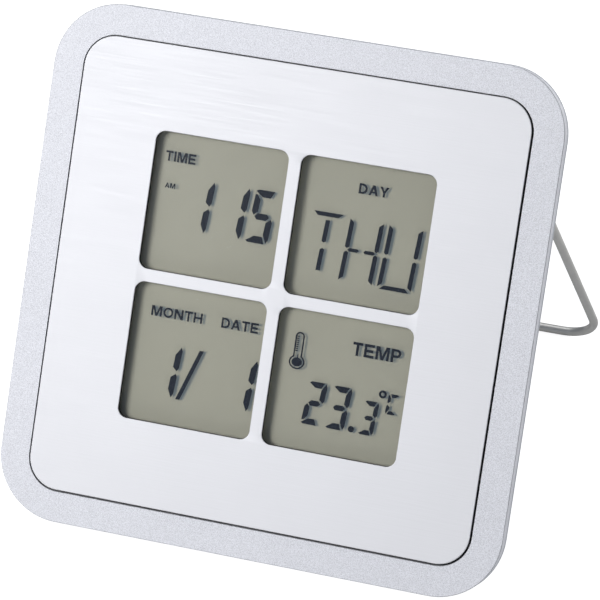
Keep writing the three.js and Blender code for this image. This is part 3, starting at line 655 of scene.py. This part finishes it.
def bar(across, along, start, end, peak=0.5):
    """A six-sided bar, as (across, along) points.

    start and end say how much its low side, its peak and its high side fall short there,
    and peak is where between the sides each end has its point.
    """
    low, high = across
    ridge = low + (high - low) * peak
    sides = (low, ridge, high)
    begin = [(side, along[0] + short) for side, short in zip(sides, start)]
    finish = [(side, along[1] - short) for side, short in zip(sides, end)]
    return begin + finish[::-1]


def turned(points):
    """Swaps a bar's two directions, so that it lies down."""
    return [(b, a) for a, b in points]


def flipped(points, height):
    return [(u, height - v) for u, v in points]


def mirrored(points, width):
    return [(width - u, v) for u, v in points]


def digit_bars(width, height, stroke):
    """The seven bars of a digit, by their usual letters, in its own upright box."""
    s = stroke
    top = turned(
        bar(
            (height - 1.1 * s, height),
            (0, width - 0.58 * s),
            start=(1.2 * s, 0, 0.43 * s),
            end=(0.5 * s, 0.1 * s, 0),
            peak=0.78,
        )
    )
    right = bar(
        (width - s, width),
        (height / 2 + 0.2 * s, height - 0.12 * s),
        start=(0.6 * s, 0, 0.5 * s),
        end=(1.3 * s, 0, 0.6 * s),
        peak=0.72,
    )
    left = bar(
        (0, s),
        (height / 2 + 0.14 * s, height - 0.7 * s),
        start=(0.6 * s, 0, 0.6 * s),
        end=(0, 0.1 * s, 0.9 * s),
        peak=0.4,
    )
    middle = turned(
        bar(
            (height / 2 - s / 2, height / 2 + s / 2),
            (0.56 * s, width - 0.62 * s),
            start=(0.45 * s, 0, 0.45 * s),
            end=(0.45 * s, 0, 0.45 * s),
        )
    )
    return {
        "a": top,
        "b": right,
        "c": flipped(right, height),
        "d": flipped(top, height),
        "e": flipped(left, height),
        "f": left,
        "g": middle,
    }


def letter_bars(width, height, stroke):
    """The bars of a letter: as a digit's, with two middle bars and a stem in two parts."""
    s = stroke
    left = bar(
        (0, s),
        (height / 2 + 0.28 * s, height - 0.5 * s),
        start=(0.35 * s, 0, 0.35 * s),
        end=(0, 0.35 * s, 0.8 * s),
    )
    top = turned(
        bar((height - 0.92 * s, height), (0.5 * s, width - 0.5 * s), (s, s / 2, 0), (s, s / 2, 0))
    )
    stem = bar(
        (width / 2 - 0.38 * s, width / 2 + 0.62 * s),
        (height / 2 + 0.6 * s, height - 1.7 * s),
        start=(0.3 * s, 0, 0.3 * s),
        end=(0, 0, 0),
    )
    half_middle = turned(
        bar(
            (height / 2 - 0.4 * s, height / 2 + 0.4 * s),
            (0.7 * s, width / 2 - 0.5 * s),
            start=(0.4 * s, 0, 0.4 * s),
            end=(0.4 * s, 0, 0.4 * s),
        )
    )
    right = mirrored(left, width)
    return {
        "a": top,
        "b": right,
        "c": flipped(right, height),
        "d": flipped(top, height),
        "e": flipped(left, height),
        "f": left,
        "g": half_middle,
        "h": mirrored(half_middle, width),
        "i": stem,
        "l": flipped(stem, height),
    }


LIT = {"1": "bc", "2": "abged", "3": "abgcd", "5": "afgcd"}
LIT_LETTER = {"T": "ail", "H": "feghbc", "U": "fedcb"}


def light(bm, bars, lit, left, bottom, slant):
    """Adds the lit bars of one character, whose box starts at (left, bottom)."""
    for name in lit:
        outline = [(left + u + slant * v, bottom + v) for u, v in bars[name]]
        prism(bm, outline, *INK_DEPTH)


def digit(bm, character, left, bottom, width, height, stroke):
    bars = digit_bars(width, height, stroke)
    light(bm, bars, LIT[character], left, bottom, DIGIT_SLANT)


def ink_piece(name, bm):
    make_piece(name, bm, "clock", [INK])


LARGE_DIGIT = {"width": 4.38, "height": 10.1, "stroke": 1.22}
MIDDLE_DIGIT = {"width": 3.6, "height": 8.22, "stroke": 1.04}
SMALL_DIGIT = {"width": 2.8, "height": 6.5, "stroke": 0.86}
UNIT_LETTER = {"width": 2.0, "height": 3.9, "stroke": 0.62}
DAY_LETTER = {"width": 6.6, "height": 12.5, "stroke": 0.85}
TIME_BOTTOM = 9.47
TIME_DIGITS = (("1", -20.37), ("1", -13.38), ("5", -7.97))  # each digit and where its box starts
DAY_AT = (3.4, 5.0)  # the first letter's lower left corner
DAY_PITCH = 7.62
DATE_BOTTOM = -22.48
DATE_DIGITS = (("1", -22.16), ("1", -7.06))
SLASH = {"foot": -17.14, "head": -13.66, "thick": 0.84, "rise": 9.96}
TEMPERATURE_BOTTOM = -22.57
DEGREE_DIGITS = (("2", 7.9), ("3", 12.77))
TENTHS_DIGIT = ("3", 19.22)
POINT = {"x": 17.78, "radius": 0.6}
DEGREE_SIGN = {"at": (22.9, -14.42), "outer": 0.77, "inner": 0.33}
UNIT_AT = (23.74, -17.97)


def time_segments():
    bm = bmesh.new()
    for character, left in TIME_DIGITS:
        digit(bm, character, left, TIME_BOTTOM, **LARGE_DIGIT)
    ink_piece("segments_time", bm)


def day_segments():
    bm = bmesh.new()
    bars = letter_bars(**DAY_LETTER)
    left, bottom = DAY_AT
    for i, character in enumerate("THU"):
        light(bm, bars, LIT_LETTER[character], left + DAY_PITCH * i, bottom, LETTER_SLANT)
    ink_piece("segments_day", bm)


def date_segments():
    bm = bmesh.new()
    for character, left in DATE_DIGITS:
        digit(bm, character, left, DATE_BOTTOM, **LARGE_DIGIT)
    foot, head, rise = SLASH["foot"], SLASH["head"], SLASH["rise"]
    slash = [(foot, 0), (foot + SLASH["thick"], 0), (head + SLASH["thick"], rise), (head, rise)]
    prism(bm, [(x, DATE_BOTTOM + z) for x, z in slash], *INK_DEPTH)
    ink_piece("segments_date", bm)


def temperature_segments():
    bm = bmesh.new()
    for character, left in DEGREE_DIGITS:
        digit(bm, character, left, TEMPERATURE_BOTTOM, **MIDDLE_DIGIT)
    digit(bm, *TENTHS_DIGIT, TEMPERATURE_BOTTOM, **SMALL_DIGIT)
    point_at = (POINT["x"], TEMPERATURE_BOTTOM + POINT["radius"])
    prism(bm, circle(POINT["radius"], point_at), *INK_DEPTH)
    sign_at = DEGREE_SIGN["at"]
    band(bm, circle(DEGREE_SIGN["outer"], sign_at), circle(DEGREE_SIGN["inner"], sign_at))
    unit_letter(bm)
    ink_piece("segments_temperature", bm)


def unit_letter(bm):
    """The C, which is a 3 without its middle bar, seen in a mirror."""
    bars = digit_bars(**UNIT_LETTER)
    reversed_bars = {name: mirrored(bars[name], UNIT_LETTER["width"]) for name in "abcd"}
    light(bm, reversed_bars, "abcd", *UNIT_AT, DIGIT_SLANT)


def band(bm, outer, inner):
    """The flat strip between two outlines of the same number of points."""
    front, back = INK_DEPTH
    rings = [
        ring(bm, outer, front),
        ring(bm, inner, front),
        ring(bm, inner, back),
        ring(bm, outer, back),
    ]
    loft(bm, rings, closed=True)


# ---------------------------------------------------------------- thermometer symbol
SYMBOL = {"x": 5.47, "bulb": -11.3, "top": -5.56, "bulb_radius": 1.55, "half": 0.9}
SYMBOL_LINE = 0.3
SYMBOL_SQUEEZE = 0.88  # the bulb's height as a share of its width
SYMBOL_FILL = (1.03, 0.84)
SPIKE = {"from_x": -0.04, "width": 0.2, "from_bulb": (0.8, 1.45)}  # on top of the fill
TICKS = {"count": 8, "pitch": 0.385, "length": 0.48, "thick": 0.22, "first": 2.05}


def thermometer_outline(shrink):
    """A round bulb with a round-topped tube standing on it."""
    radius = SYMBOL["bulb_radius"] - shrink
    half = SYMBOL["half"] - shrink
    join = math.acos(half / radius)
    top = SYMBOL["top"] - SYMBOL["bulb"] - SYMBOL["half"]
    sweep = math.pi + 2 * join
    bulb = arc((0, 0), radius, radius * SYMBOL_SQUEEZE, join, sweep=-sweep, steps=36)
    cap = arc((0, top), half, half, math.pi, sweep=-math.pi, steps=16)
    return [(SYMBOL["x"] + x, SYMBOL["bulb"] + z) for x, z in bulb + cap]


def thermometer_symbol():
    bm = bmesh.new()
    band(bm, thermometer_outline(0), thermometer_outline(SYMBOL_LINE))
    x, bulb = SYMBOL["x"], SYMBOL["bulb"]
    prism(bm, arc((x, bulb), *SYMBOL_FILL, 0, sweep=2 * math.pi, steps=32)[:-1], *INK_DEPTH)
    left = x + SPIKE["from_x"]
    low, high = SPIKE["from_bulb"]
    block(bm, (left, left + SPIKE["width"]), (bulb + low, bulb + high), INK_DEPTH)
    inner_wall = x - SYMBOL["half"] + SYMBOL_LINE
    for i in range(TICKS["count"]):
        low = bulb + TICKS["first"] + TICKS["pitch"] * i
        tick = (low, low + TICKS["thick"])
        block(bm, (inner_wall, inner_wall + TICKS["length"]), tick, INK_DEPTH)
    ink_piece("thermometer_symbol", bm)


# ---------------------------------------------------------------- labels
def bowl(left, right, bottom, top):
    """The outline of a half-round shape with a straight left side, as in D and P."""
    up = (top - bottom) / 2
    across = min(up, right - left)
    round_side = arc((right - across, bottom + up), across, up, -QUARTER)
    return [(left, bottom)] + round_side + [(left, top)]


def oval(left, right, bottom, top):
    middle = ((left + right) / 2, (bottom + top) / 2)
    across = (right - left) / 2
    up = (top - bottom) / 2
    return arc(middle, across, up, 0, sweep=2 * math.pi, steps=24)[:-1]


def capital_a(w, t):
    """Two legs that lean together, and a bar; the second outline is the hole over the bar."""
    lean = w / 2 - 0.55 * t
    leg = 1.1 * t
    bar_low, bar_high = 0.22, 0.22 + 0.85 * t
    under = leg + bar_low * lean
    over = leg + bar_high * lean
    rim = [(0, 0), (leg, 0), (under, bar_low), (w - under, bar_low), (w - leg, 0), (w, 0)]
    rim += [(w - lean, 1), (lean, 1)]
    return [rim, [(over, bar_high), (w - over, bar_high), (w / 2, (w / 2 - leg) / lean)]]


def capital(letter, w, t):
    """Outlines of a block capital of height 1, width w and stroke t: its rim, then a hole."""
    m = w / 2
    low, high = 0.5 - t / 2, 0.5 + t / 2
    if letter == "A":
        return capital_a(w, t)
    if letter == "D":
        return [bowl(0, w, 0, 1), bowl(t, w - t, 0.9 * t, 1 - 0.9 * t)]
    if letter == "O":
        return [oval(0, w, 0, 1), oval(t, w - t, 0.95 * t, 1 - 0.95 * t)]
    if letter == "P":
        stem = bowl(0, w, 0.36, 1)[1:] + [(0, 0), (t, 0), (t, 0.36)]
        return [stem, bowl(t, w - t, 0.36 + 0.9 * t, 1 - 0.9 * t)]
    rims = {
        "E": [(0, 0), (w, 0), (w, t), (t, t), (t, low), (w - t / 3, low), (w - t / 3, high)]
        + [(t, high), (t, 1 - t), (w, 1 - t), (w, 1), (0, 1)],
        "H": [(0, 0), (t, 0), (t, low), (w - t, low), (w - t, 0), (w, 0), (w, 1)]
        + [(w - t, 1), (w - t, high), (t, high), (t, 1), (0, 1)],
        "I": [(0, 0), (w, 0), (w, 1), (0, 1)],
        "M": [(0, 0), (t, 0), (t, 0.7), (m - t / 2, 0), (m + t / 2, 0), (w - t, 0.7)]
        + [(w - t, 0), (w, 0), (w, 1), (w - 1.4 * t, 1), (m, 0.3), (1.4 * t, 1), (0, 1)],
        "N": [(0, 0), (t, 0), (t, 0.64), (w - 1.1 * t, 0), (w, 0), (w, 1), (w - t, 1)]
        + [(w - t, 0.36), (1.1 * t, 1), (0, 1)],
        "T": [(m - t / 2, 0), (m + t / 2, 0), (m + t / 2, 1 - t), (w, 1 - t), (w, 1)]
        + [(0, 1), (0, 1 - t), (m - t / 2, 1 - t)],
        "Y": [(m - t / 2, 0), (m + t / 2, 0), (m + t / 2, 0.42), (w, 1), (w - 1.2 * t, 1)]
        + [(m, 0.6), (1.2 * t, 1), (0, 1), (m - t / 2, 0.42)],
    }
    return [rims[letter]]


# Widths of the capitals, before a label is stretched to fill its box.
WIDTHS = {"I": 0.2, "M": 0.98, "O": 0.92, "A": 0.86, "N": 0.8, "H": 0.8, "Y": 0.84, "D": 0.8}
OTHER_WIDTH = 0.72
LETTER_GAP = 0.13


def label(bm, text, x_range, z_range, stroke):
    """Block capitals that fill a box on the display; stroke is a share of their height."""
    widths = [WIDTHS.get(letter, OTHER_WIDTH) for letter in text]
    natural = sum(widths) + LETTER_GAP * (len(text) - 1)
    stretch = (x_range[1] - x_range[0]) / natural
    height = z_range[1] - z_range[0]
    left = x_range[0]
    for letter, width in zip(text, widths):
        width *= stretch / height
        outlines = [
            [(left + u * height, z_range[0] + v * height) for u, v in outline]
            for outline in capital(letter, width, stroke)
        ]
        plate(bm, outlines, *INK_DEPTH)
        left += width * height + LETTER_GAP * stretch


def labels():
    """The captions above the readings, in one piece."""
    bm = bmesh.new()
    date_line = (-7.43, -5.47)
    label(bm, "TIME", (-25.77, -19.77), (22.1, 24.03), 0.2)
    label(bm, "AM", (-25.12, -23.08), (16.99, 17.97), 0.2)
    label(bm, "DAY", (12.54, 18.33), (21.97, 23.9), 0.22)
    label(bm, "MONTH", (-24.27, -14.04), date_line, 0.2)
    label(bm, "DATE", (-10.19, -2.86), date_line, 0.2)
    label(bm, "TEMP", (15.84, 25.28), (-8.15, -5.6), 0.2)
    ink_piece("labels", bm)


# ---------------------------------------------------------------- wire stand
def bend(before, corner, after, radius, steps=16):
    """Points round a bend of the wire, from one straight part to the next."""
    back = (before - corner).normalized()
    ahead = (after - corner).normalized()
    half = back.angle(ahead) / 2
    centre = corner + (back + ahead).normalized() * (radius / math.sin(half))
    start = corner + back * (radius / math.tan(half)) - centre
    turn = math.pi - 2 * half
    across = (corner + ahead * (radius / math.tan(half)) - centre) - start * math.cos(turn)
    across = across.normalized() * radius
    return [
        centre + start * math.cos(turn * i / steps) + across * math.sin(turn * i / steps)
        for i in range(steps + 1)
    ]


def wire_path():
    """The wire's centre line, as (sideways, away from the hinge) points."""
    corners = [
        (-WIRE_END, 0),
        (-WIRE_TOP, 0),
        (-WIRE_FOOT, WIRE_REACH),
        (WIRE_FOOT, WIRE_REACH),
        (WIRE_TOP, 0),
        (WIRE_END, 0),
    ]
    corners = [Vector(corner) for corner in corners]
    radii = (WIRE_TOP_BEND, WIRE_FOOT_BEND, WIRE_FOOT_BEND, WIRE_TOP_BEND)
    path = [corners[0]]
    for i, radius in enumerate(radii):
        path += bend(*corners[i : i + 3], radius)
    path.append(corners[-1])
    return path


def wire_stand():
    """A round bar that follows the bent path, with slightly rounded ends."""
    bm = bmesh.new()
    joint = next(j for j in frame["joints"] if j["child"] == "stand")
    hinge = CLOCK.inverted() @ Vector(joint["pos_m"]) / MM
    away = Vector((0, math.sin(STAND_OPEN), -math.cos(STAND_OPEN)))
    path = [hinge + RIGHT * x + away * reach for x, reach in wire_path()]
    into_end = RIGHT * WIRE_END_ROUND
    path.insert(1, path[0] + into_end)
    path.insert(-1, path[-1] - into_end)
    end_radius = WIRE_RADIUS - WIRE_END_ROUND
    radii = [end_radius] + [WIRE_RADIUS] * (len(path) - 2) + [end_radius]
    plane_normal = RIGHT.cross(away)
    loops = []
    for i, (point, radius) in enumerate(zip(path, radii)):
        before = path[max(i - 1, 0)]
        after = path[min(i + 1, len(path) - 1)]
        side = (after - before).normalized().cross(plane_normal)
        loop = [
            bm.verts.new(point + side * across + plane_normal * up)
            for across, up in circle(radius, (0, 0), WIRE_SIDES)
        ]
        loops.append(loop)
    loft(bm, loops)
    bm.faces.new(loops[0])
    bm.faces.new(loops[-1])
    make_piece(
        "wire_stand_bar",
        bm,
        "stand",
        [FINISHES["wire_steel"]],
        ["wire_stand"],
    )


# ---------------------------------------------------------------- carried-over CAD nodes
FINE_EDGE = 0.12
THIN_EDGE = 0.03  # for pieces of thin sheet
EDGE_FROM = math.radians(32)  # corners sharper than this get a rounded edge
WELD_WITHIN = 0.001
FLAT_WITHIN = math.radians(1)
THIN_SLOTS = ("tape", "polariser", "reflector", "tinned_metal")


def finish_node(node, slot):
    """Gives a CAD node its material and fine rounded edges. Its own mesh stays as imported."""
    node.data.materials.clear()
    node.data.materials.append(FINISHES[slot])
    node.data.shade_smooth()
    normals = node.data.attributes.get("custom_normal")
    if normals:
        node.data.attributes.remove(normals)
    weld = node.modifiers.new("Weld", "WELD")
    weld.merge_threshold = WELD_WITHIN * MM
    flat = node.modifiers.new("Flat", "DECIMATE")
    flat.decimate_type = "DISSOLVE"
    flat.angle_limit = FLAT_WITHIN
    edges = node.modifiers.new("Edges", "BEVEL")
    edges.width = (THIN_EDGE if slot in THIN_SLOTS else FINE_EDGE) * MM
    edges.segments = 2
    edges.limit_method = "ANGLE"
    edges.angle_limit = EDGE_FROM
    weighted = node.modifiers.new("Normals", "WEIGHTED_NORMAL")
    weighted.keep_sharp = True


def node_slots():
    """The record's material slot of each CAD node."""
    return {part["node"]: part["material_slot"] for part in frame["record"]["subparts"]}


# ---------------------------------------------------------------- stage, light and camera
LIGHT_AIM = CLOCK.translation
FLOOR_HALF = 6  # in metres


def pale_floor():
    """Matt white paper, lit from below as on a light table."""
    bm = bmesh.new()
    bmesh.ops.create_grid(bm, x_segments=8, y_segments=8, size=FLOOR_HALF)
    mesh = bpy.data.meshes.new("floor")
    bm.to_mesh(mesh)
    bm.free()
    floor = bpy.data.objects.new("floor", mesh)
    bpy.context.scene.collection.objects.link(floor)
    paper = Finish("floor_paper", (0.55, 0.55, 0.55), 0.9)
    paper.set("Specular IOR Level", 0.0)
    paper.set("Emission Color", (1, 1, 1, 1))
    paper.link(paper.glow(0.12, 0.88), paper.surface.inputs["Emission Strength"])
    mesh.materials.append(paper.material)


def softbox(name, direction, distance, size, power):
    """A square lamp that faces the clock from a direction in world space."""
    lamp = bpy.data.lights.new(name, "AREA")
    lamp.size = size
    lamp.energy = power
    box = bpy.data.objects.new(name, lamp)
    bpy.context.scene.collection.objects.link(box)
    box.location = LIGHT_AIM + direction.normalized() * distance
    box.rotation_mode = "QUATERNION"
    box.rotation_quaternion = direction.to_track_quat("Z", "Y")


def lights():
    """A strong softbox from the front left, one above, one behind and a dim bluish room."""
    world = bpy.data.worlds.new("studio")
    bpy.context.scene.world = world
    room = NodeTree(world)
    walls = room.tree.nodes["Background"]
    walls.inputs["Color"].default_value = (0.78, 0.88, 1, 1)
    room.link(room.glow(0.15, 1.3), walls.inputs["Strength"])
    key = AXES @ Vector((-0.44, -0.9, 0.12))
    softbox("key_light", key, distance=0.55, size=0.22, power=2.35)
    above = Vector((-0.26, 0.4, 0.88))
    softbox("top_light", above, distance=0.9, size=0.6, power=2.3)
    behind = Vector((0.8, 0.8, 0.3))
    softbox("rear_light", behind, distance=0.9, size=0.5, power=4.8)


CAMERA_ANGLES = {"azimuth": 18.9, "elevation": 35.83, "roll": -1.28}  # degrees
CAMERA_DISTANCE = 0.6659
CAMERA_AIM = (4.77, 0, 0.51)  # in the clock's own frame
CAMERA_LENS = {"sensor": 36, "focal": 213.4}


def camera():
    """Looks at the face from the right and above, from far away with a long lens."""
    data = bpy.data.cameras.new("camera")
    data.sensor_width = CAMERA_LENS["sensor"]
    data.lens = CAMERA_LENS["focal"]
    data.clip_end = 2 * FLOOR_HALF
    cam = bpy.data.objects.new("camera", data)
    bpy.context.scene.collection.objects.link(cam)
    azimuth, elevation, roll = (math.radians(angle) for angle in CAMERA_ANGLES.values())
    aim = CLOCK @ (Vector(CAMERA_AIM) * MM)
    back = Vector(
        (
            math.sin(azimuth) * math.cos(elevation),
            -math.cos(azimuth) * math.cos(elevation),
            math.sin(elevation),
        )
    )
    cam.location = aim + back * CAMERA_DISTANCE
    turn = back.to_track_quat("Z", "Y").to_matrix() @ Matrix.Rotation(roll, 3, "Z")
    cam.rotation_euler = turn.to_euler()
    bpy.context.scene.camera = cam


# ---------------------------------------------------------------- the whole picture
for name, slot in node_slots().items():
    finish_node(nodes[name], slot)
front_frame()
front_panel()
glass_pair()
display_mask()
time_segments()
day_segments()
date_segments()
temperature_segments()
thermometer_symbol()
labels()
wire_stand()

pale_floor()
lights()
camera()
bpy.context.scene.view_settings.view_transform = "Standard"
bpy.context.scene.cycles.transparent_max_bounces = 16  # the display is a stack of clear sheets
